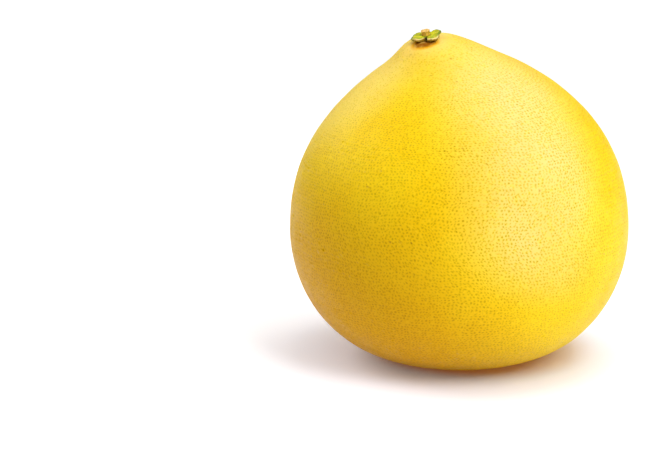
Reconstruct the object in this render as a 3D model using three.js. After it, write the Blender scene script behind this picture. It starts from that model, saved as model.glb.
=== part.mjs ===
// A whole pomelo: a large yellow citrus fruit, broad and round below, drawn up into a blunt neck
// that leans to one side. It stands on a small flat spot round the dimple of its blossom end. The
// neck carries the green calyx that stayed on when the fruit was picked, with the woody stub of
// the cut stem on it. Millimetres, +Z up, origin on the resting surface under the belly's centre;
// the neck leans towards -X and towards -Y, the side that is seen from the front.
import * as THREE from "three";

// Fruit: one side of the outline
const DIMPLE_RADIUS = 7;
const DIMPLE_DEPTH = 0.9;
const REST_RADIUS = 18;
const BELLY_RADIUS = 77.5;
const BELLY_HEIGHT = 60.7;
const NECK_RADIUS = 31.1;
const NECK_HEIGHT = 135.2;
const NECK_SLOPE = THREE.MathUtils.degToRad(61.2); // the flank of the neck, from vertical
const FRUIT_HEIGHT = 149.7;
const SEAT_DEPTH = 1.2; // the stem end sits in a shallow dish in the crown
const SEAT_RADIUS = 8;

// How far each curve of the outline keeps to its end directions, as a share of the way across
const UNDERSIDE_BULGE = 0.671;
const LOWER_BELLY_BULGE = 0.477;
const UPPER_BELLY_BULGE = 0.507;
const FLANK_STRAIGHTNESS = 0.637;
const SHOULDER_BULGE = 0.558;
const CROWN_BULGE = 0.384;

// The lean of the neck: it shifts the stem end sideways, and turns it to face a little more forward
const BEND_START = 86;
const SHIFT_AZIMUTH = THREE.MathUtils.degToRad(220);
const STEM_SHIFT = 20.6;
const SHIFT_POWER = 3;
const TILT_AZIMUTH = THREE.MathUtils.degToRad(240);
const STEM_TILT = THREE.MathUtils.degToRad(17.2);
const TILT_POWER = 2;

// Unevenness of the skin: broad swells, and pleats that run out from the stem
const SWELL = 0.4;
const PLEAT_DEPTH = 0.28;
const PLEAT_COUNT = 9;
const PLEAT_START = 3; // distances from the stem
const PLEAT_PEAK = 9;
const PLEAT_REACH = 24;

// Calyx: a thick disc whose rim is drawn out into cupped lobes
const CALYX_GAP = 0.3; // between the calyx and the skin under it
const CALYX_RADIUS = 6;
const CALYX_NOTCH_RADIUS = 3.2;
const CALYX_THICKNESS = 1.6;
const CALYX_HOLLOW = 0.4; // how far the underside rises from its middle, over the dish it sits in
const LOBE_THICKNESS = 1.2;
const LOBE_ROOT = 2.6; // radius at which the disc starts to spread into lobes
const MOUND_EDGE = 0.5; // width of the slope from the thick middle down to the lobes
// Each lobe's azimuth and half its width in degrees, its length from the centre, and how far its
// tip curls up
const LOBES = [
  { azimuth: -60, halfWidth: 39, length: 6.9, lift: 0.3 },
  { azimuth: 2, halfWidth: 52, length: 6, lift: 1.1 },
  { azimuth: 96, halfWidth: 36, length: 4.3, lift: 0 },
  { azimuth: 156, halfWidth: 38, length: 6.5, lift: 0.2 },
  { azimuth: 201, halfWidth: 38, length: 7.7, lift: 0.4 },
];

// Stub of the cut stem
const STUB_RADIUS = 2.1;
const STUB_WAIST = 1.8;
const STUB_HEIGHT = 2;
const STUB_GAP = 0.3; // between the stub and the calyx under it
const STUB_OFFSET = -0.7; // along X, from the middle of the calyx
const STUB_FLUTES = 7;
const STUB_FLUTE_DEPTH = 0.14;

// Fineness of the meshes
const FRUIT_SEGMENTS = 96;
const CALYX_SEGMENTS = 80;
const STUB_SEGMENTS = 28;

const { clamp, degToRad, smoothstep } = THREE.MathUtils;
const point = (radius, height) => new THREE.Vector2(radius, height);
const SHIFT_DIRECTION = new THREE.Vector3(Math.cos(SHIFT_AZIMUTH), Math.sin(SHIFT_AZIMUTH), 0);
const TILT_AXIS = new THREE.Vector3(-Math.sin(TILT_AZIMUTH), Math.cos(TILT_AZIMUTH), 0);

// A solid of revolution about +Z, with every vertex then moved by the given rule.
function turned(outline, segments, move) {
  const geometry = new THREE.LatheGeometry(outline, segments).rotateX(Math.PI / 2);
  const position = geometry.getAttribute("position");
  const vertex = new THREE.Vector3();
  for (let i = 0; i < position.count; i++) {
    move(vertex.fromBufferAttribute(position, i));
    position.setXYZ(i, vertex.x, vertex.y, vertex.z);
  }
  geometry.computeVertexNormals();
  return geometry;
}

// The fruit's outline from the middle of its underside to its stem end, before it leans.
function fruitOutline() {
  const flankUp = point(-Math.sin(NECK_SLOPE), Math.cos(NECK_SLOPE));
  const neck = point(NECK_RADIUS, NECK_HEIGHT);
  const belly = point(BELLY_RADIUS, BELLY_HEIGHT);
  const dimple = new THREE.CubicBezierCurve(
    point(0, DIMPLE_DEPTH),
    point(DIMPLE_RADIUS / 2, DIMPLE_DEPTH),
    point(DIMPLE_RADIUS / 2, 0),
    point(DIMPLE_RADIUS, 0),
  );
  const underside = new THREE.CubicBezierCurve(
    point(REST_RADIUS, 0),
    point(REST_RADIUS + UNDERSIDE_BULGE * (BELLY_RADIUS - REST_RADIUS), 0),
    point(BELLY_RADIUS, BELLY_HEIGHT * (1 - LOWER_BELLY_BULGE)),
    belly,
  );
  const shoulder = new THREE.CubicBezierCurve(
    belly,
    point(BELLY_RADIUS, BELLY_HEIGHT + UPPER_BELLY_BULGE * (NECK_HEIGHT - BELLY_HEIGHT)),
    neck.clone().addScaledVector(flankUp, -FLANK_STRAIGHTNESS * (BELLY_RADIUS - NECK_RADIUS)),
    neck,
  );
  const crown = new THREE.CubicBezierCurve(
    neck,
    neck.clone().addScaledVector(flankUp, SHOULDER_BULGE * NECK_RADIUS),
    point(CROWN_BULGE * NECK_RADIUS, FRUIT_HEIGHT),
    point(0, FRUIT_HEIGHT),
  );
  return [
    ...dimple.getPoints(3),
    ...underside.getPoints(14),
    ...shoulder.getPoints(14).slice(1),
    ...crown.getPoints(9).slice(1),
  ];
}

// How far the skin stands out from a true solid of revolution. It fades to nothing at the rest.
function unevenness(azimuth, radius, height) {
  const swells =
    0.5 * Math.sin(2 * azimuth + 0.9 + height / 60) +
    0.3 * Math.sin(3 * azimuth + 2.2 - height / 34) +
    0.2 * Math.sin(5 * azimuth + 4.1 + height / 21);
  const pleats = Math.cos(PLEAT_COUNT * azimuth + Math.sin(2 * azimuth));
  const swollen = smoothstep(radius, REST_RADIUS, BELLY_RADIUS / 2);
  const pleated = smoothstep(radius, PLEAT_START, PLEAT_PEAK) - smoothstep(radius, PLEAT_PEAK, PLEAT_REACH);
  const onNeck = height > BEND_START ? 1 : 0;
  return SWELL * swells * swollen + PLEAT_DEPTH * pleats * pleated * onNeck;
}

// Moves a point of the upright fruit to its place on the leaning, uneven one.
function lean(p) {
  const radius = Math.hypot(p.x, p.y);
  const azimuth = Math.atan2(p.y, p.x);
  const grown = radius < 1e-6 ? 0 : 1 + unevenness(azimuth, radius, p.z) / radius;
  const along = clamp((p.z - BEND_START) / (FRUIT_HEIGHT - BEND_START), 0, 1);
  const height = p.z; // before the lean
  const dish = height > BEND_START ? 1 - smoothstep(radius, 0, SEAT_RADIUS) : 0;
  p.set(p.x * grown, p.y * grown, -SEAT_DEPTH * dish);
  p.applyAxisAngle(TILT_AXIS, STEM_TILT * along ** TILT_POWER);
  p.addScaledVector(SHIFT_DIRECTION, STEM_SHIFT * along ** SHIFT_POWER);
  p.z += height;
}

function makeFruit() {
  const skin = new THREE.MeshStandardMaterial({ color: 0xf4c81c, roughness: 0.42, metalness: 0 });
  const fruit = new THREE.Mesh(turned(fruitOutline(), FRUIT_SEGMENTS, lean), skin);
  fruit.name = "fruit";
  return fruit;
}

// The calyx's cross-section as a plain round disc with a blunt rim, from its underside to its top.
function calyxOutline() {
  const rim = LOBE_THICKNESS / 2;
  const corner = 0.3 * rim; // how far the rounded rim stays clear of a square one's corners
  return [
    point(0, 0),
    point(LOBE_ROOT, 0),
    point((LOBE_ROOT + CALYX_RADIUS) / 2, 0),
    point(CALYX_RADIUS - rim, 0),
    point(CALYX_RADIUS - corner, corner),
    point(CALYX_RADIUS, rim),
    point(CALYX_RADIUS - corner, LOBE_THICKNESS - corner),
    point(CALYX_RADIUS - rim, LOBE_THICKNESS),
    point((LOBE_ROOT + CALYX_RADIUS) / 2, LOBE_THICKNESS),
    point(LOBE_ROOT + MOUND_EDGE, (LOBE_THICKNESS + CALYX_THICKNESS) / 2),
    point(LOBE_ROOT, CALYX_THICKNESS),
    point(0, CALYX_THICKNESS),
  ];
}

// How strongly a lobe shapes the calyx at an azimuth: 1 along its middle, 0 beyond its edges.
function lobeShare(lobe, azimuth) {
  const turn = azimuth - degToRad(lobe.azimuth);
  const away = Math.abs(Math.atan2(Math.sin(turn), Math.cos(turn)));
  const across = Math.min(away / degToRad(lobe.halfWidth), 1);
  return Math.sqrt(1 - across ** 2);
}

// Dishes the round disc, draws it out into its lobes and curls each one up towards its tip.
function lobed(p) {
  const radius = Math.hypot(p.x, p.y);
  const azimuth = Math.atan2(p.y, p.x);
  const out = smoothstep(radius, LOBE_ROOT, CALYX_RADIUS);
  p.z += CALYX_HOLLOW * smoothstep(radius, 0, CALYX_RADIUS);
  let rim = CALYX_NOTCH_RADIUS;
  let lift = 0;
  for (const lobe of LOBES) {
    const share = lobeShare(lobe, azimuth);
    rim = Math.max(rim, CALYX_NOTCH_RADIUS + share * (lobe.length - CALYX_NOTCH_RADIUS));
    lift = Math.max(lift, share * lobe.lift);
  }
  const grown = 1 + out * (rim / CALYX_RADIUS - 1);
  p.set(p.x * grown, p.y * grown, p.z + lift * out ** 1.5);
}

function makeCalyx() {
  const sepal = new THREE.MeshStandardMaterial({ color: 0x8fa32a, roughness: 0.6, metalness: 0 });
  const calyx = new THREE.Mesh(turned(calyxOutline(), CALYX_SEGMENTS, lobed), sepal);
  calyx.name = "calyx";
  calyx.position.z = CALYX_GAP;
  return calyx;
}

// A short fluted stump with a waist and a slightly sunken cut face.
function makeStemStub() {
  const outline = [
    point(0, 0),
    point(STUB_RADIUS, 0),
    point(STUB_WAIST, STUB_HEIGHT * 0.35),
    point(STUB_WAIST, STUB_HEIGHT * 0.6),
    point(STUB_RADIUS, STUB_HEIGHT * 0.85),
    point(STUB_RADIUS * 0.85, STUB_HEIGHT),
    point(STUB_RADIUS * 0.45, STUB_HEIGHT * 0.96),
    point(0, STUB_HEIGHT * 0.9),
  ];
  const fluted = (p) => {
    const fluteShare = (1 + Math.cos(STUB_FLUTES * Math.atan2(p.y, p.x))) / 2;
    const grown = 1 - (STUB_FLUTE_DEPTH / STUB_RADIUS) * fluteShare;
    p.set(p.x * grown, p.y * grown, p.z);
  };
  const wood = new THREE.MeshStandardMaterial({ color: 0xb98a4c, roughness: 0.85, metalness: 0 });
  const stub = new THREE.Mesh(turned(outline, STUB_SEGMENTS, fluted), wood);
  stub.name = "stem_stub";
  stub.position.set(STUB_OFFSET, 0, CALYX_GAP + CALYX_THICKNESS + STUB_GAP);
  return stub;
}

// The stem end stands square to the skin where the leaning neck ends.
const stemEnd = new THREE.Group();
stemEnd.position.set(0, 0, FRUIT_HEIGHT);
lean(stemEnd.position);
stemEnd.quaternion.setFromAxisAngle(TILT_AXIS, STEM_TILT);
stemEnd.add(makeCalyx(), makeStemStub());

const pomelo = new THREE.Group();
pomelo.add(makeFruit(), stemEnd);

export default pomelo;
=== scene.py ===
"""A ripe pomelo on a white table, lit softly from above and from the right.

The skin is a mesh of its oil glands: every gland is one vertex pressed a little way in, and the
ridges between glands are the vertices round it. Shapes are worked out in millimetres, from the
same dimensions as the solids, and are scaled to metres when their meshes are made.
"""

import math

import bpy
import numpy as np
from mathutils import Matrix, Vector, noise


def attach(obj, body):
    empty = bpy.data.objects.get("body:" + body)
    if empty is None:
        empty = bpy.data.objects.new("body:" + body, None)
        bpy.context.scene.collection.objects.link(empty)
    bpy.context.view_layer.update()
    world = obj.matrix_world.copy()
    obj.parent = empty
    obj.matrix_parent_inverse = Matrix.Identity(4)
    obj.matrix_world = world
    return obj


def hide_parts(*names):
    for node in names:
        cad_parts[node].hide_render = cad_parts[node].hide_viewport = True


MM = 0.001
SEED = 11

# Fruit: one side of the outline, as in the solid
DIMPLE_RADIUS = 7
DIMPLE_DEPTH = 0.9
REST_RADIUS = 18
BELLY_RADIUS = 77.5
BELLY_HEIGHT = 60.7
NECK_RADIUS = 31.1
NECK_HEIGHT = 135.2
NECK_SLOPE = math.radians(61.2)
FRUIT_HEIGHT = 149.7
SEAT_DEPTH = 1.2
SEAT_RADIUS = 8
UNDERSIDE_BULGE = 0.671
LOWER_BELLY_BULGE = 0.477
UPPER_BELLY_BULGE = 0.507
FLANK_STRAIGHTNESS = 0.637
SHOULDER_BULGE = 0.558
CROWN_BULGE = 0.384

# The lean of the neck
BEND_START = 86
SHIFT_AZIMUTH = math.radians(220)
STEM_SHIFT = 20.6
SHIFT_POWER = 3
TILT_AZIMUTH = math.radians(240)
STEM_TILT = math.radians(17.2)
TILT_POWER = 2

# Unevenness of the skin
SWELL = 0.4
PLEAT_DEPTH = 0.28
PLEAT_COUNT = 9
PLEAT_START = 3
PLEAT_PEAK = 9
PLEAT_REACH = 24

# Oil glands
GLAND_PITCH = 1.61
GLAND_JITTER = 0.3  # share of the pitch by which each gland strays from its row
GLAND_DEPTH = 0.15
GLAND_EASE = 8  # rows wander less within this many pitches of the fruit's axis
FAINTEST_GLAND = 0.62  # depth of the faintest gland, as a share of GLAND_DEPTH
BLIND_SHARE = 0.06  # share of glands that don't show
ROW_WANDER = 1.6  # how far whole rows of glands wander over the skin
ROW_WANDER_SCALE = 19
SKIN_RIPPLE = 0.1
SKIN_RIPPLE_SCALE = 9
SKIN_INSET = 0.05  # keeps the ripples within the solid's own size

# Calyx
CALYX_GAP = 0.3
CALYX_RADIUS = 6
CALYX_NOTCH_RADIUS = 3.2
CALYX_THICKNESS = 1.6
CALYX_HOLLOW = 0.4
LOBE_THICKNESS = 1.2
LOBE_ROOT = 2.6
LOBE_PLUMPNESS = 0.35
RIB_HEIGHT = 0.14
RIB_WIDTH = math.radians(5)
SIDE_RIB_TURN = math.radians(17)  # from the rib in the middle of each lobe
NOTCH_SHADE_PLACE = (-0.5, -3.0, 1.4)  # painted shade in a dark hollow between two lobes
LOBES = [  # azimuth and half width in degrees, length from the centre, lift of the tip
    (-60, 39, 6.9, 0.3),
    (2, 52, 6.0, 1.1),
    (96, 36, 4.3, 0.0),
    (156, 38, 6.5, 0.2),
    (201, 38, 7.7, 0.4),
]

# Stub of the cut stem
STUB_RADIUS = 2.1
STUB_WAIST = 1.8
STUB_HEIGHT = 2.0
STUB_GAP = 0.3
STUB_SUNK = 0.5  # how far its foot reaches down, across the gap and into the calyx
STUB_OFFSET = -0.7  # along X, from the middle of the calyx
STUB_FLUTES = 7
STUB_FLUTE_DEPTH = 0.14

# Painted light and shade on the rind. Each side is a direction from the middle of the fruit's girth,
# and its reach is how nearly places lie in that direction, from where its colour starts to where it is
# full
HIGHLIGHT_SIDE = np.array([0.47, -0.65, 0.60])  # painted highlight, pale yellow
HIGHLIGHT_REACH = (0.54, 0.92)
ACROSS_HIGHLIGHT = np.array([0.83, 0.53, -0.17])  # the painted highlight is a band, narrow in this direction
HIGHLIGHT_MIDDLE = -0.19  # where the band's middle lies in it
HIGHLIGHT_BAND = (0.05, 0.56)  # from the band's middle, where its colour starts to fade and is gone
RIM_LIGHT_SIDE = np.array([-0.55, 0.15, 0.82])  # painted rim light, palest yellow, high on the left
RIM_LIGHT_REACH = (0.76, 1.0)
SHADED_SIDE = np.array([-0.66, -0.32, -0.68])  # painted shade, golden
SHADED_REACH = (0.05, 0.95)
UNDERSIDE_REACH = (0.5, 0.98)
UNDERSIDE_SHADE = 0.7  # the underside gets the painted shade too, this much

# Distances over which the skin's colour changes
STEM_GLOW = (5, 16)  # from the stem end, where its pale ring is full and gone
CROWN_REACH = (10, 60)  # from the stem end, where gland dots are faintest and full
STAIN_AND_SHADOW_PLACE = (-1.9, -5.0, 0)  # brown stain under the calyx, deepened by painted shadow, from the stem end's middle
STAIN_AND_SHADOW_SHAPE = (0.6, 1, 1)  # it spreads further along X
STAIN_AND_SHADOW_REACH = (1.4, 6.0)
SCAR_RADIUS = 2  # the blossom scar is full within this and gone at the dimple's edge

# Colours of the rind, as shares of red, green and blue light
RIND_DEEP = (0.93, 0.61, 0.006)
RIND_LIGHT = (0.95, 0.68, 0.012)
RIND_GREENISH = (0.80, 0.55, 0.01)
# painted shade
RIND_SHADE = (0.56, 0.268, 0.0)
# painted highlight
RIND_HIGHLIGHT = (0.97, 0.71, 0.28)
# painted rim light
RIND_RIM_LIGHT = (0.98, 0.77, 0.30)
# painted glints, small and scattered
RIND_GLINT = (1.0, 0.70, 0.025)
RIND_STEM_END = (0.99, 0.67, 0.20)
PORE_TINT = (0.80, 0.76, 0.2)
GLAND_TINT = (0.715, 0.655, 0.10)
# brown stain under the calyx, deepened by painted shadow
STAIN_AND_SHADOW_RIM = (0.86, 0.40, 0.0)
STAIN_AND_SHADOW_MIDDLE = (0.30, 0.09, 0.0)
BLOSSOM_SCAR = (0.20, 0.10, 0.03)

# Colours of the calyx and of the stub
SEPAL_GREEN = (0.30, 0.35, 0.002)
SEPAL_YELLOW = (0.70, 0.66, 0.008)
SEPAL_RIB = (0.70, 0.62, 0.10)
# painted shade beneath the calyx
SEPAL_UNDERSIDE_SHADE = (0.20, 0.15, 0.012)
SEPAL_DARK_MARGIN = (0.15, 0.21, 0.010)
# painted shade on the lower half of the cut margins
SEPAL_CUT_SHADE = (0.34, 0.17, 0.015)
SEPAL_CUT_HIGH = (0.92, 0.72, 0.28)
# painted shade in a hollow between two lobes
SEPAL_NOTCH_SHADE = (0.05, 0.03, 0.008)
WOOD_DARK = (0.58, 0.30, 0.02)
WOOD_LIGHT = (0.90, 0.60, 0.07)
WOOD_FLUTE = (0.22, 0.13, 0.04)
WOOD_CUT = (0.86, 0.58, 0.20)

# Camera: a long lens, a little above the table
LENS = 90
SENSOR_WIDTH = 36
CAMERA_PITCH = math.radians(12)
CAMERA_DISTANCE = 764.5
AIM_HEIGHT = 70
AIM_LEFT = 58.1  # the picture's middle lies this far left of the fruit's middle
AIM_DROP = 9.1  # and this far below AIM_HEIGHT

# Surroundings: white on their bright side, grey on the other
BRIGHT_SIDE = (0.75, 0.45, 0.3)
GREYEST = 0.05
WHITEST = 0.29

# Table: tinted cooler where the fruit's shadow falls, and glowing with painted light, dimmer round the
# fruit, by distance from SHADOW_MIDDLE
TABLE_HALF_WIDTH = 6000
SHADOW_MIDDLE = (11, 13, 0)
# cooler near the fruit, painted to tint its shadow
NEAR_TABLE_SHADOW_TINT = (0.84, 0.86, 1.0)
FAR_TABLE = (0.90, 0.90, 0.90)
CONTACT_GLOW = (1.0, 0.34, 0.05)  # painted warm glow between the fruit and the table
# colours of the table's painted glow, near the fruit and further off
NEAR_GLOW = (0.85, 0.85, 0.95)
FAR_GLOW = (1.0, 1.0, 1.0)

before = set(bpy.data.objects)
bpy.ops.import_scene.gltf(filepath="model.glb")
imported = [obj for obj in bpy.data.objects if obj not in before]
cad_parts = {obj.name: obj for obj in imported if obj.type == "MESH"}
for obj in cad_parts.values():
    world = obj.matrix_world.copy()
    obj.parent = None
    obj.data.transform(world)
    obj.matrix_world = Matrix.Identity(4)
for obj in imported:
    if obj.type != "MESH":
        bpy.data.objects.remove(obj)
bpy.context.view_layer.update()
draw = np.random.default_rng(SEED)


def smooth(value, low, high):
    """0 below low, 1 above high, and a smooth rise between."""
    share = np.clip((np.asarray(value, dtype=float) - low) / (high - low), 0, 1)
    return share * share * (3 - 2 * share)


def bezier(p0, p1, p2, p3, count):
    """Points along a cubic curve."""
    t = np.linspace(0, 1, count)[:, None]
    p0, p1, p2, p3 = (np.array(p, dtype=float) for p in (p0, p1, p2, p3))
    return (1 - t) ** 3 * p0 + 3 * (1 - t) ** 2 * t * p1 + 3 * (1 - t) * t ** 2 * p2 + t ** 3 * p3


def fruit_outline():
    """The fruit's outline, as radii and heights from the middle of its underside to its stem end."""
    flank = np.array([-math.sin(NECK_SLOPE), math.cos(NECK_SLOPE)])
    belly = np.array([BELLY_RADIUS, BELLY_HEIGHT])
    neck = np.array([NECK_RADIUS, NECK_HEIGHT])
    under_shade = UNDERSIDE_BULGE * (BELLY_RADIUS - REST_RADIUS)
    upper = UPPER_BELLY_BULGE * (NECK_HEIGHT - BELLY_HEIGHT)
    straight = FLANK_STRAIGHTNESS * (BELLY_RADIUS - NECK_RADIUS)
    dimple = bezier((0, DIMPLE_DEPTH), (DIMPLE_RADIUS / 2, DIMPLE_DEPTH), (DIMPLE_RADIUS / 2, 0),
                    (DIMPLE_RADIUS, 0), 60)
    underside = bezier((REST_RADIUS, 0), (REST_RADIUS + under_shade, 0),
                       (BELLY_RADIUS, BELLY_HEIGHT * (1 - LOWER_BELLY_BULGE)), belly, 400)
    shoulder = bezier(belly, belly + [0, upper], neck - straight * flank, neck, 400)
    crown = bezier(neck, neck + SHOULDER_BULGE * NECK_RADIUS * flank,
                   (CROWN_BULGE * NECK_RADIUS, FRUIT_HEIGHT), (0, FRUIT_HEIGHT), 300)
    return np.vstack([dimple, underside, shoulder[1:], crown[1:]])


def unevenness(azimuth, radius, height):
    """How far the skin stands out from a true solid of revolution.

    Three waves round the fruit, which turn slowly with height, and the pleats at its stem end.
    """
    swells = (0.5 * np.sin(2 * azimuth + 0.9 + height / 60)
              + 0.3 * np.sin(3 * azimuth + 2.2 - height / 34)
              + 0.2 * np.sin(5 * azimuth + 4.1 + height / 21))
    pleats = np.cos(PLEAT_COUNT * azimuth + np.sin(2 * azimuth))
    swollen = smooth(radius, REST_RADIUS, BELLY_RADIUS / 2)
    pleated = smooth(radius, PLEAT_START, PLEAT_PEAK) - smooth(radius, PLEAT_PEAK, PLEAT_REACH)
    return SWELL * swells * swollen + PLEAT_DEPTH * pleats * pleated * (height > BEND_START)


def lean(azimuth, radius, height):
    """Where points of the upright fruit lie on the leaning, uneven one."""
    grown = radius + unevenness(azimuth, radius, height) * (radius > 1e-6)
    along = np.clip((height - BEND_START) / (FRUIT_HEIGHT - BEND_START), 0, 1)
    dish = (1 - smooth(radius, 0, SEAT_RADIUS)) * (height > BEND_START)
    flat = np.stack([grown * np.cos(azimuth), grown * np.sin(azimuth), -SEAT_DEPTH * dish], -1)
    axis = np.array([-math.sin(TILT_AZIMUTH), math.cos(TILT_AZIMUTH), 0])
    tilt = (STEM_TILT * along ** TILT_POWER)[:, None]
    turned = (flat * np.cos(tilt) + np.cross(axis, flat) * np.sin(tilt)
              + np.outer(flat @ axis, axis) * (1 - np.cos(tilt)))
    turned[:, 0] += STEM_SHIFT * along ** SHIFT_POWER * math.cos(SHIFT_AZIMUTH)
    turned[:, 1] += STEM_SHIFT * along ** SHIFT_POWER * math.sin(SHIFT_AZIMUTH)
    turned[:, 2] += height
    return turned


OUTLINE = fruit_outline()
STEPS = np.hypot(*np.diff(OUTLINE, axis=0).T)
RUN = np.concatenate([[0], np.cumsum(STEPS)])  # distance along the outline from the underside


def on_skin(run, azimuth):
    """Points of the skin at distances along the outline and azimuths."""
    radius = np.interp(run, RUN, OUTLINE[:, 0])
    height = np.interp(run, RUN, OUTLINE[:, 1])
    return lean(azimuth, radius, height)


def skin_normals(run, azimuth, step=0.4):
    """Outward directions of the skin at those points."""
    radius = np.maximum(np.interp(run, RUN, OUTLINE[:, 0]), step)
    up = on_skin(np.minimum(run + step, RUN[-1]), azimuth) - on_skin(np.maximum(run - step, 0), azimuth)
    round_ = on_skin(run, azimuth + step / radius) - on_skin(run, azimuth - step / radius)
    normal = np.cross(round_, up)
    length = np.linalg.norm(normal, axis=1, keepdims=True)
    return normal / np.maximum(length, 1e-9)


def make_object(name, points, faces, material, attributes=None):
    """A smooth-shaded mesh object, made from points in millimetres."""
    mesh = bpy.data.meshes.new(name)
    mesh.from_pydata((np.asarray(points) * MM).tolist(), [], faces)
    mesh.polygons.foreach_set("use_smooth", [True] * len(mesh.polygons))
    for key, values in (attributes or {}).items():
        layer = mesh.attributes.new(key, "FLOAT", "POINT")
        layer.data.foreach_set("value", np.asarray(values, dtype=np.float32))
    mesh.materials.append(material)
    mesh.update()
    piece = bpy.data.objects.new(name, mesh)
    bpy.context.scene.collection.objects.link(piece)
    return piece


def gland_rows():
    """Glands in rows round the fruit, each strayed a little: distances, azimuths and row starts."""
    spacing = GLAND_PITCH * math.sqrt(3) / 2
    row_count = int(RUN[-1] / spacing)
    runs, azimuths, starts = [np.zeros(1)], [np.zeros(1)], [0, 1]
    for row in range(1, row_count):
        run = RUN[-1] * row / row_count
        radius = float(np.interp(run, RUN, OUTLINE[:, 0]))
        count = max(5, round(2 * math.pi * radius / GLAND_PITCH))
        stray = GLAND_JITTER * GLAND_PITCH
        first = draw.uniform(0, 2 * math.pi / count)
        azimuth = first + 2 * math.pi * np.arange(count) / count
        runs.append(run + draw.uniform(-stray, stray, count))
        azimuths.append(azimuth + draw.uniform(-stray, stray, count) / radius)
        starts.append(starts[-1] + count)
    runs.append(np.array([RUN[-1]]))
    azimuths.append(np.zeros(1))
    starts.append(starts[-1] + 1)
    return np.concatenate(runs), np.concatenate(azimuths), starts


def row_triangles(starts):
    """Triangles that join each row of glands to the next, facing out."""
    triangles = []
    for lower, upper, end in zip(starts, starts[1:], starts[2:]):
        low, high = upper - lower, end - upper
        i = j = 0
        while i < low or j < high:
            a, b = lower + i % low, upper + j % high
            if j >= high or (i < low and (i + 1) / low <= (j + 1) / high):
                if low > 1:
                    triangles.append((a, lower + (i + 1) % low, b))
                i += 1
            else:
                if high > 1:
                    triangles.append((a, upper + (j + 1) % high, b))
                j += 1
    return np.array(triangles)


def cells_round_glands(triangles, gland_count):
    """Faces that ring each gland with the middles of the triangles round it."""
    side = {}
    for index, (a, b, c) in enumerate(triangles.tolist()):
        side[a, b] = side[b, c] = side[c, a] = gland_count + index
    return [(a, side[b, a], middle) for (a, b), middle in side.items()]


def wander(points, scale, offset):
    """A smooth random value at each point, between about -1 and 1, different for each offset."""
    shift = Vector((offset, 0, 0))
    return np.array([noise.noise(Vector(point) / scale + shift) for point in points.tolist()])


def skin_places(points, stem_point, stain_and_shadow_point):
    """How much each point of the skin belongs to the places that are coloured differently, painted light
    and shade among them.
    """
    from_stem = np.linalg.norm(points - stem_point, axis=1)
    from_stain_and_shadow = np.linalg.norm((points - stain_and_shadow_point) * STAIN_AND_SHADOW_SHAPE, axis=1)
    from_axis = np.hypot(points[:, 0], points[:, 1])
    from_blossom = np.where(points[:, 2] < DIMPLE_RADIUS, from_axis, BELLY_RADIUS)
    from_middle = points - [0, 0, BELLY_HEIGHT]
    facing = from_middle / np.linalg.norm(from_middle, axis=1, keepdims=True)
    # painted highlight, in a band
    highlight_band = 1 - smooth(np.abs(facing @ ACROSS_HIGHLIGHT - HIGHLIGHT_MIDDLE), *HIGHLIGHT_BAND)
    # painted shade on the underside
    underside = UNDERSIDE_SHADE * smooth(-facing[:, 2], *UNDERSIDE_REACH)
    return {
        "painted_highlight": highlight_band * smooth(facing @ HIGHLIGHT_SIDE, *HIGHLIGHT_REACH),
        "painted_rim_light": smooth(facing @ RIM_LIGHT_SIDE, *RIM_LIGHT_REACH),
        "shaded": np.maximum(smooth(facing @ SHADED_SIDE, *SHADED_REACH), underside),
        "stem_near": 1 - smooth(from_stem, *STEM_GLOW),
        "crown": 1 - smooth(from_stem, *CROWN_REACH),
        "stain_and_shadow": 1 - smooth(from_stain_and_shadow, *STAIN_AND_SHADOW_REACH),
        "blossom_near": 1 - smooth(from_blossom, SCAR_RADIUS, DIMPLE_RADIUS),
    }


def make_skin(material, stem_point, stain_and_shadow_point):
    """The whole rind, gland by gland."""
    run, azimuth, starts = gland_rows()
    triangles = row_triangles(starts)
    inner = slice(1, len(run) - 1)
    place = on_skin(run, azimuth)
    radius = np.maximum(np.interp(run, RUN, OUTLINE[:, 0]), GLAND_PITCH)
    ease = smooth(radius, GLAND_PITCH, GLAND_EASE * GLAND_PITCH)
    run[inner] += (ROW_WANDER * ease * wander(place, ROW_WANDER_SCALE, offset=5))[inner]
    turn = ROW_WANDER * ease * wander(place, ROW_WANDER_SCALE, offset=71) / radius
    azimuth[inner] += turn[inner]

    glands = on_skin(run, azimuth)
    outward = skin_normals(run, azimuth)
    middles = glands[triangles].mean(axis=1)
    middle_outward = outward[triangles].mean(axis=1)
    strength = draw.uniform(FAINTEST_GLAND, 1, len(glands))
    strength = strength * (draw.uniform(0, 1, len(glands)) > BLIND_SHARE)
    glands = glands - outward * (GLAND_DEPTH * strength)[:, None]

    points = np.vstack([glands, middles])
    outward = np.vstack([outward, middle_outward])
    from_axis = np.hypot(points[:, 0], points[:, 1])
    low = points[:, 2] < BELLY_HEIGHT / 2
    free = np.where(low, smooth(from_axis, REST_RADIUS, 2 * REST_RADIUS), 1)
    ripple = SKIN_RIPPLE * wander(points, SKIN_RIPPLE_SCALE, offset=33) - SKIN_INSET
    points += outward * (free * ripple)[:, None]
    points[:, 2] = np.maximum(points[:, 2], 0)

    attributes = skin_places(points, stem_point, stain_and_shadow_point)
    attributes["gland"] = np.concatenate([strength, np.zeros(len(middles))])
    faces = cells_round_glands(triangles, len(run))
    return make_object("pomelo_skin", points, faces, material, attributes)


def lobe_shape(azimuth):
    """The calyx's rim radius, lift and distance from the nearest lobe's middle, at azimuths."""
    rim = np.full_like(azimuth, CALYX_NOTCH_RADIUS)
    lift = np.zeros_like(azimuth)
    nearest = np.full_like(azimuth, math.pi)
    for middle, half_width, length, rise in LOBES:
        turn = azimuth - math.radians(middle)
        away = np.abs(np.arctan2(np.sin(turn), np.cos(turn)))
        share = np.sqrt(1 - np.minimum(away / math.radians(half_width), 1) ** 2)
        rim = np.maximum(rim, CALYX_NOTCH_RADIUS + share * (length - CALYX_NOTCH_RADIUS))
        lift = np.maximum(lift, share * rise)
        nearest = np.minimum(nearest, away)
    return rim, lift, nearest


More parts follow.
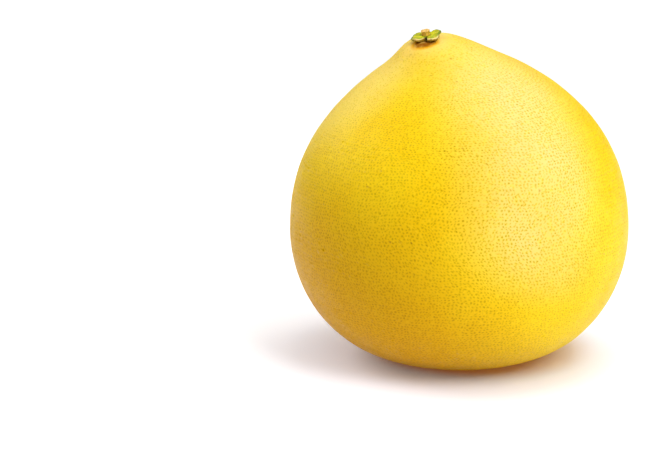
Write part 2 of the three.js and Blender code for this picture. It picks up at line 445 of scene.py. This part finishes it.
def calyx_section():
    """The calyx's section: radii, heights, and shares of margin and of upper side."""
    edge = LOBE_THICKNESS / 2
    below = np.linspace(0, CALYX_RADIUS - edge, 22)
    turn = np.linspace(-math.pi / 2, math.pi / 2, 13)[1:-1]
    above = np.linspace(CALYX_RADIUS - edge, 0, 34)
    mound = (CALYX_THICKNESS - LOBE_THICKNESS) * (1 - smooth(above, LOBE_ROOT - 0.4, LOBE_ROOT + 1.4))
    radius = np.concatenate([below, CALYX_RADIUS - edge + edge * np.cos(turn), above])
    height = np.concatenate([np.zeros(len(below)), edge + edge * np.sin(turn), LOBE_THICKNESS + mound])
    margin = np.concatenate([np.zeros(len(below)), np.cos(turn) ** 0.5, np.zeros(len(above))])
    upper = np.concatenate([np.zeros(len(below)), 0.5 + turn / math.pi, np.ones(len(above))])
    return radius, height, margin, upper


def revolve_faces(rings, count):
    """Quads between rings of equal count, with the first and last ring closed by a point each."""
    faces = []
    for ring in range(rings - 1):
        for k in range(count):
            a, b = ring * count + k, ring * count + (k + 1) % count
            faces.append((a, b, b + count, a + count))
    first, last = rings * count, rings * count + 1
    top = (rings - 1) * count
    faces += [(first, (k + 1) % count, k) for k in range(count)]
    faces += [(last, top + k, top + (k + 1) % count) for k in range(count)]
    return faces


def to_stem_end(points):
    """Moves points from the stem end's own upright frame to where it leans."""
    tip = lean(np.zeros(1), np.zeros(1), np.array([float(FRUIT_HEIGHT)]))[0]
    axis = Vector((-math.sin(TILT_AZIMUTH), math.cos(TILT_AZIMUTH), 0))
    turn = np.array(Matrix.Rotation(STEM_TILT, 3, axis))
    return points @ turn.T + tip


def make_calyx(material, count=216):
    """Five fleshy lobes with ribs, blunt uneven margins and a mound in the middle."""
    radius, height, margin, upper = calyx_section()
    inside = slice(1, len(radius) - 1)
    radius, height, margin, upper = radius[inside], height[inside], margin[inside], upper[inside]
    angle = 2 * math.pi * np.arange(count) / count
    r, phi = np.meshgrid(radius, angle, indexing="ij")
    z = np.repeat(height[:, None], count, axis=1)
    top = np.repeat(upper[:, None], count, axis=1)
    edge = np.repeat(margin[:, None], count, axis=1)
    rim, lift, away = lobe_shape(phi)
    out = smooth(r, LOBE_ROOT, CALYX_RADIUS)

    # Small waves round the rim leave it ragged
    nibble = 0.16 * np.sin(11 * phi + 1.0) + 0.1 * np.sin(23 * phi + 0.4) + 0.07 * np.sin(41 * phi)
    r_new = r * (1 + out * ((rim + nibble) / CALYX_RADIUS - 1))
    middle_rib = np.exp(-(away / RIB_WIDTH) ** 2)
    side_ribs = 0.5 * np.exp(-((away - SIDE_RIB_TURN) / RIB_WIDTH) ** 2)
    rib = middle_rib + side_ribs
    plump = np.sin(math.pi * smooth(r, LOBE_ROOT - 1, CALYX_RADIUS))
    plump *= LOBE_PLUMPNESS * np.cos(np.minimum(away, 0.6) * 2)
    z_new = z + CALYX_HOLLOW * smooth(r, 0, CALYX_RADIUS) + lift * out ** 1.5
    z_new += top * (RIB_HEIGHT * rib * np.sin(math.pi * out) + plump)
    z_new -= (1 - top) * CALYX_GAP * (1 - 0.7 * smooth(lift, 0, 2) * out)

    # Away from the front lobes' cut margins, a dark outline runs along the rim's upper side
    front = smooth(-np.sin(phi + 0.12), 0.4, 0.75)
    outline = 0.9 * top * (1 - front) * smooth(r, 0.8 * CALYX_RADIUS, 0.95 * CALYX_RADIUS)

    points = np.stack([r_new * np.cos(phi), r_new * np.sin(phi), z_new + CALYX_GAP], -1).reshape(-1, 3)
    ends = np.array([[0, 0, 0], [0, 0, CALYX_GAP + CALYX_THICKNESS]])
    points = np.vstack([points, ends])
    attributes = {
        "margin": np.append(np.maximum(edge, outline).ravel(), [0, 0]),
        "upper": np.append(top.ravel(), [0, 1]),
        "rib": np.append((rib * smooth(r, LOBE_ROOT - 1, LOBE_ROOT + 0.5)).ravel(), [0, 0]),
        "front": np.append(front.ravel(), [0, 0]),
        "notch_shade": 1 - smooth(np.linalg.norm(points - NOTCH_SHADE_PLACE, axis=1), 0.4, 1.3),
    }
    faces = revolve_faces(len(radius), count)
    return make_object("pomelo_calyx", to_stem_end(points), faces, material, attributes)


def make_stem_stub(material, count=96):
    """The dry stump of the stem: fluted, waisted, with a rough cut face."""
    side = bezier((STUB_RADIUS, 0), (STUB_WAIST - 0.1, STUB_HEIGHT * 0.4),
                  (STUB_WAIST, STUB_HEIGHT * 0.6), (STUB_RADIUS, STUB_HEIGHT * 0.86), 22)
    lip = bezier((STUB_RADIUS, STUB_HEIGHT * 0.86), (STUB_RADIUS, STUB_HEIGHT),
                 (STUB_RADIUS, STUB_HEIGHT), (STUB_RADIUS * 0.84, STUB_HEIGHT), 8)
    face = np.stack([np.linspace(0.8, 0.04, 16) * STUB_RADIUS, np.full(16, STUB_HEIGHT * 0.97)], 1)
    section = np.vstack([side, lip[1:], face])
    angle = 2 * math.pi * np.arange(count) / count
    r, phi = np.meshgrid(section[:, 0], angle, indexing="ij")
    z = np.repeat(section[:, 1][:, None], count, axis=1)
    # Broad and fine flutes round its side, year rings and splinters on its cut face
    flute = (1 + np.cos(STUB_FLUTES * phi)) / 2 * 0.7 + (1 + np.cos(19 * phi + 1)) / 2 * 0.3
    r_new = r * (1 - STUB_FLUTE_DEPTH / STUB_RADIUS * flute * smooth(r, 0.5, STUB_WAIST))
    cut = smooth(z, STUB_HEIGHT * 0.8, STUB_HEIGHT * 0.96)
    rings = 0.07 * np.cos(r * 9) - 0.12 * (1 - smooth(r, 0.1, 0.7)) - 0.1 * smooth(r, 1.2, 1.7)
    ragged = 0.07 * np.sin(5 * phi + 2) + 0.05 * np.sin(13 * phi)
    z_new = z - cut * (0.16 - rings - ragged * smooth(r, 0.3, 1.5))
    base = CALYX_GAP + CALYX_THICKNESS + STUB_GAP
    sunk = np.where(np.arange(len(section)) == 0, -STUB_SUNK, 0)[:, None]
    points = np.stack([r_new * np.cos(phi), r_new * np.sin(phi), z_new + base + sunk], -1).reshape(-1, 3)
    points = np.vstack([points, [[0, 0, base - STUB_SUNK], [0, 0, base + STUB_HEIGHT * 0.82]]])
    points[:, 0] += STUB_OFFSET
    attributes = {
        "cut": np.append((cut * (1 - smooth(r, 1.6, 2.0))).ravel(), [0, 1]),
        "flute": np.append(flute.ravel(), [0, 0]),
    }
    faces = revolve_faces(len(section), count)
    return make_object("pomelo_stem_stub", to_stem_end(points), faces, material, attributes)


class Nodes:
    """Short ways to write a material's node tree."""

    def __init__(self, name):
        self.material = bpy.data.materials.new(name)
        self.material.use_nodes = True
        self.tree = self.material.node_tree
        self.shader = self.tree.nodes["Principled BSDF"]
        self.coords = self.tree.nodes.new("ShaderNodeTexCoord").outputs["Object"]

    def link(self, source, target):
        self.tree.links.new(source, target)

    def set(self, **values):
        """Sets the shader's own sockets, by name with _ for a space."""
        for key, value in values.items():
            self.shader.inputs[key.replace("_", " ")].default_value = value

    def attribute(self, name):
        node = self.tree.nodes.new("ShaderNodeAttribute")
        node.attribute_name = name
        return node.outputs["Fac"]

    def noise(self, scale, detail=3.0, roughness=0.55, stretch=None):
        node = self.tree.nodes.new("ShaderNodeTexNoise")
        node.inputs["Scale"].default_value = scale
        node.inputs["Detail"].default_value = detail
        node.inputs["Roughness"].default_value = roughness
        source = self.coords
        if stretch:
            mapping = self.tree.nodes.new("ShaderNodeMapping")
            mapping.inputs["Scale"].default_value = stretch
            self.link(source, mapping.inputs["Vector"])
            source = mapping.outputs["Vector"]
        self.link(source, node.inputs["Vector"])
        return node.outputs["Fac"]

    def spots(self, scale):
        """Distance from the nearest of many scattered spots, as a share of their spacing."""
        node = self.tree.nodes.new("ShaderNodeTexVoronoi")
        node.inputs["Scale"].default_value = scale
        self.link(self.coords, node.inputs["Vector"])
        return node.outputs["Distance"]

    def between(self, value, low, high, to_low=0.0, to_high=1.0):
        """Runs smoothly from to_low to to_high while the value runs from low to high."""
        node = self.tree.nodes.new("ShaderNodeMapRange")
        node.interpolation_type = "SMOOTHSTEP"
        node.inputs["From Min"].default_value = low
        node.inputs["From Max"].default_value = high
        node.inputs["To Min"].default_value = to_low
        node.inputs["To Max"].default_value = to_high
        self.link(value, node.inputs["Value"])
        return node.outputs["Result"]

    def times(self, first, second):
        node = self.tree.nodes.new("ShaderNodeMath")
        node.operation = "MULTIPLY"
        for socket, value in zip(node.inputs, (first, second)):
            if isinstance(value, (int, float)):
                socket.default_value = value
            else:
                self.link(value, socket)
        return node.outputs[0]

    def mix(self, factor, first, second, blend="MIX"):
        node = self.tree.nodes.new("ShaderNodeMix")
        node.data_type = "RGBA"
        node.blend_type = blend
        self.link(factor, node.inputs["Factor"])
        for socket, value in ((node.inputs[6], first), (node.inputs[7], second)):
            if isinstance(value, tuple):
                socket.default_value = (*value, 1)
            else:
                self.link(value, socket)
        return node.outputs[2]

    def bump(self, height, strength, distance):
        node = self.tree.nodes.new("ShaderNodeBump")
        node.inputs["Strength"].default_value = strength
        node.inputs["Distance"].default_value = distance
        self.link(height, node.inputs["Height"])
        self.link(node.outputs["Normal"], self.shader.inputs["Normal"])


def skin_material():
    """Waxy rind: cloudy yellows, gland dots, browner spots at either end, the one under the calyx
    deepened by painted shadow, and a painted highlight, rim light, shade and glints.
    """
    n = Nodes("pomelo_rind")
    colour = n.mix(n.between(n.noise(28, 4), 0.35, 0.68), RIND_DEEP, RIND_LIGHT)
    colour = n.mix(n.times(n.between(n.noise(9, 2), 0.5, 0.75), 0.3), colour, RIND_GREENISH)
    # painted shade on the lower left and the underside
    colour = n.mix(n.times(n.attribute("shaded"), 0.9), colour, RIND_SHADE)
    # painted highlight and painted rim light, mottled
    painted_light_mottle = n.between(n.noise(24, 3), 0.3, 0.65, 0.62, 1.0)
    colour = n.mix(n.times(n.times(n.attribute("painted_highlight"), 0.85), painted_light_mottle), colour, RIND_HIGHLIGHT)
    colour = n.mix(n.times(n.times(n.attribute("painted_rim_light"), 0.5), painted_light_mottle), colour, RIND_RIM_LIGHT)
    pores = n.times(n.between(n.spots(760), 0.12, 0.45, 1, 0), 0.85)
    colour = n.mix(pores, colour, PORE_TINT, "MULTIPLY")
    # painted glints, small and scattered, fewer where shade is painted
    painted_glints = n.times(n.between(n.noise(650, 1), 0.52, 0.68), 0.3)
    painted_glints = n.times(painted_glints, n.between(n.attribute("shaded"), 0, 0.7, 1, 0.25))
    colour = n.mix(painted_glints, colour, RIND_GLINT)
    colour = n.mix(gland_dots(n), colour, GLAND_TINT, "MULTIPLY")
    stem_ring = n.times(n.attribute("stem_near"), n.between(n.noise(160, 3), 0.3, 0.6, 0.3, 0.7))
    colour = n.mix(stem_ring, colour, RIND_STEM_END)
    # brown stain under the calyx, deepened by painted shadow
    stain_and_shadow = n.attribute("stain_and_shadow")
    stain_and_shadow_colour = n.mix(n.between(stain_and_shadow, 0.45, 0.9), STAIN_AND_SHADOW_RIM, STAIN_AND_SHADOW_MIDDLE)
    ragged = n.between(n.noise(420, 4), 0.3, 0.6, 0.6, 1.0)
    colour = n.mix(n.times(n.between(stain_and_shadow, 0.15, 0.6), ragged), colour, stain_and_shadow_colour)
    scar = n.times(n.attribute("blossom_near"), n.between(n.noise(420, 4), 0.3, 0.6, 0.5, 1.0))
    colour = n.mix(scar, colour, BLOSSOM_SCAR)
    n.link(colour, n.shader.inputs["Base Color"])
    n.link(n.between(n.noise(90, 4), 0.3, 0.7, 0.36, 0.5), n.shader.inputs["Roughness"])
    n.bump(n.noise(1100, 3), 0.5, 0.14 * MM)
    n.set(Subsurface_Weight=0.12, Subsurface_Radius=(1.0, 0.55, 0.12), Subsurface_Scale=4 * MM)
    n.set(Specular_IOR_Level=0.09, Specular_Tint=(1.0, 0.88, 0.35, 1))
    return n.material


def gland_dots(n):
    """How strongly each gland shows: patchily, and less towards the stem and under the painted rim
    light.
    """
    dots = n.between(n.attribute("gland"), 0.2, 0.75)
    dots = n.times(dots, n.between(n.noise(45, 2), 0.3, 0.65, 0.75, 1.0))
    dots = n.times(dots, n.between(n.attribute("stem_near"), 0, 1, 1, 0.3))
    dots = n.times(dots, n.between(n.attribute("painted_rim_light"), 0, 1, 1, 0.35))
    return n.times(dots, n.between(n.attribute("crown"), 0, 1, 1, 0.45))


def calyx_material():
    """Yellow-green flesh: yellower ribs, painted brown shade beneath, cream cut margins in front with
    painted shade on their lower half, dark behind, and painted shade in one notch.
    """
    n = Nodes("pomelo_sepal")
    colour = n.mix(n.between(n.noise(420, 4), 0.3, 0.7), SEPAL_GREEN, SEPAL_YELLOW)
    colour = n.mix(n.times(n.attribute("rib"), 0.4), colour, SEPAL_RIB)
    # painted shade beneath the calyx and on the lower half of its cut margins
    under_shade = n.between(n.attribute("upper"), 0.1, 0.5, 1.0, 0.0)
    colour = n.mix(n.times(under_shade, 0.7), colour, SEPAL_UNDERSIDE_SHADE)
    cut_colour = n.mix(n.between(n.attribute("upper"), 0.5, 0.8), SEPAL_CUT_SHADE, SEPAL_CUT_HIGH)
    margin_colour = n.mix(n.attribute("front"), SEPAL_DARK_MARGIN, cut_colour)
    margin = n.between(n.attribute("margin"), 0.25, 0.8)
    colour = n.mix(n.times(margin, 0.9), colour, margin_colour)
    # painted shade in a hollow between two lobes
    colour = n.mix(n.attribute("notch_shade"), colour, SEPAL_NOTCH_SHADE)
    n.link(colour, n.shader.inputs["Base Color"])
    n.bump(n.noise(900, 5), 0.6, 0.2 * MM)
    n.set(Roughness=0.5, Specular_IOR_Level=0.15, Subsurface_Weight=0.1, Subsurface_Scale=MM)
    return n.material


def stub_material():
    """Dry tan wood, darker in its flutes and paler on the cut face."""
    n = Nodes("pomelo_stem_wood")
    grain = n.between(n.noise(700, 5, stretch=(1, 1, 0.2)), 0.3, 0.7)
    colour = n.mix(grain, WOOD_DARK, WOOD_LIGHT)
    colour = n.mix(n.times(n.attribute("flute"), 0.35), colour, WOOD_FLUTE)
    colour = n.mix(n.times(n.attribute("cut"), 0.7), colour, WOOD_CUT)
    n.link(colour, n.shader.inputs["Base Color"])
    n.bump(n.noise(1600, 5, stretch=(1, 1, 0.25)), 0.8, 0.2 * MM)
    n.set(Roughness=0.85, Specular_IOR_Level=0.2)
    return n.material


def table_material():
    """White, tinted cooler where the fruit's shadow falls, with a painted glow that is dimmer round the
    fruit and warm where the two meet.
    """
    n = Nodes("white_table")
    n.set(Roughness=0.7, Specular_IOR_Level=0.2)
    distance = n.tree.nodes.new("ShaderNodeVectorMath")
    distance.operation = "DISTANCE"
    n.link(n.coords, distance.inputs[0])
    distance.inputs[1].default_value = [place * MM for place in SHADOW_MIDDLE]
    away = distance.outputs["Value"]
    far = n.between(away, 60 * MM, 140 * MM)
    n.link(n.mix(far, NEAR_TABLE_SHADOW_TINT, FAR_TABLE), n.shader.inputs["Base Color"])
    # the table's painted glow: warm where it meets the fruit, dimmer round the fruit, brighter far off
    tint = n.mix(far, NEAR_GLOW, FAR_GLOW)
    tint = n.mix(n.between(away, 42 * MM, 58 * MM), CONTACT_GLOW, tint)
    n.link(tint, n.shader.inputs["Emission Color"])
    glow = n.between(away, 46 * MM, 95 * MM, 0.12, 0.36)
    glow = n.times(glow, n.between(away, 500 * MM, 3000 * MM, 1, 3))
    n.link(glow, n.shader.inputs["Emission Strength"])
    return n.material


def make_floor(material):
    """A wide white table top."""
    half = TABLE_HALF_WIDTH
    corners = [(-half, -half, 0), (half, -half, 0), (half, half, 0), (-half, half, 0)]
    floor = make_object("floor", corners, [(0, 1, 2, 3)], material)


def area_light(name, direction, distance, width, height, power, colour=(1, 1, 1)):
    """A soft box that shines on the fruit's middle from a direction."""
    data = bpy.data.lights.new(name, "AREA")
    data.shape = "RECTANGLE"
    data.size, data.size_y = width, height
    data.energy = power
    data.color = colour
    lamp = bpy.data.objects.new(name, data)
    target = Vector((0, 0, AIM_HEIGHT * MM))
    towards = Vector(direction).normalized()
    lamp.location = target + towards * distance
    lamp.rotation_euler = towards.to_track_quat("Z", "Y").to_euler()
    bpy.context.scene.collection.objects.link(lamp)


def make_world():
    """White surroundings that fall off to grey away from their bright side."""
    world = bpy.data.worlds.new("white_room")
    world.use_nodes = True
    bpy.context.scene.world = world
    tree = world.node_tree
    background = tree.nodes["Background"]
    coords = tree.nodes.new("ShaderNodeTexCoord")
    towards = tree.nodes.new("ShaderNodeVectorMath")
    towards.operation = "DOT_PRODUCT"
    towards.inputs[1].default_value = BRIGHT_SIDE
    reach = tree.nodes.new("ShaderNodeMapRange")
    reach.interpolation_type = "SMOOTHSTEP"
    reach.inputs["From Min"].default_value = -0.8
    reach.inputs["From Max"].default_value = 0.15
    reach.inputs["To Min"].default_value = GREYEST
    reach.inputs["To Max"].default_value = WHITEST
    tree.links.new(coords.outputs["Generated"], towards.inputs[0])
    tree.links.new(towards.outputs["Value"], reach.inputs["Value"])
    tree.links.new(reach.outputs["Result"], background.inputs["Strength"])
    background.inputs["Color"].default_value = (1, 1, 1, 1)


def make_camera():
    """The camera, level across the picture, with the fruit right of the picture's middle."""
    data = bpy.data.cameras.new("camera")
    data.lens = LENS
    data.sensor_width = SENSOR_WIDTH
    data.clip_end = 100
    camera = bpy.data.objects.new("camera", data)
    forward = Vector((0, math.cos(CAMERA_PITCH), -math.sin(CAMERA_PITCH)))
    up = Vector((0, math.sin(CAMERA_PITCH), math.cos(CAMERA_PITCH)))
    aim = Vector((-AIM_LEFT, 0, AIM_HEIGHT)) - AIM_DROP * up
    camera.location = (aim - CAMERA_DISTANCE * forward) * MM
    camera.rotation_euler = (math.pi / 2 - CAMERA_PITCH, 0, 0)
    bpy.context.scene.collection.objects.link(camera)
    bpy.context.scene.camera = camera


make_camera()
make_world()
make_floor(table_material())
area_light("key", direction=(0.43, -0.60, 0.72), distance=1.3, width=0.6, height=0.8, power=10.8,
           colour=(1.0, 0.98, 0.95))
area_light("left_top", direction=(-0.8, 0.35, 0.6), distance=1.5, width=0.9, height=0.9, power=9)
area_light("top", direction=(0.25, 0.05, 1.0), distance=1.6, width=1.1, height=1.1, power=11)

stem_point, stain_and_shadow_point = to_stem_end(np.array([[0, 0, 0], STAIN_AND_SHADOW_PLACE]))
skin = make_skin(skin_material(), stem_point, stain_and_shadow_point)
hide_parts("fruit")
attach(skin, "root")

calyx = make_calyx(calyx_material())
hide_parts("calyx")
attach(calyx, "root")

stub = make_stem_stub(stub_material())
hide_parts("stem_stub")
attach(stub, "root")

bpy.context.scene.view_settings.view_transform = "Standard"
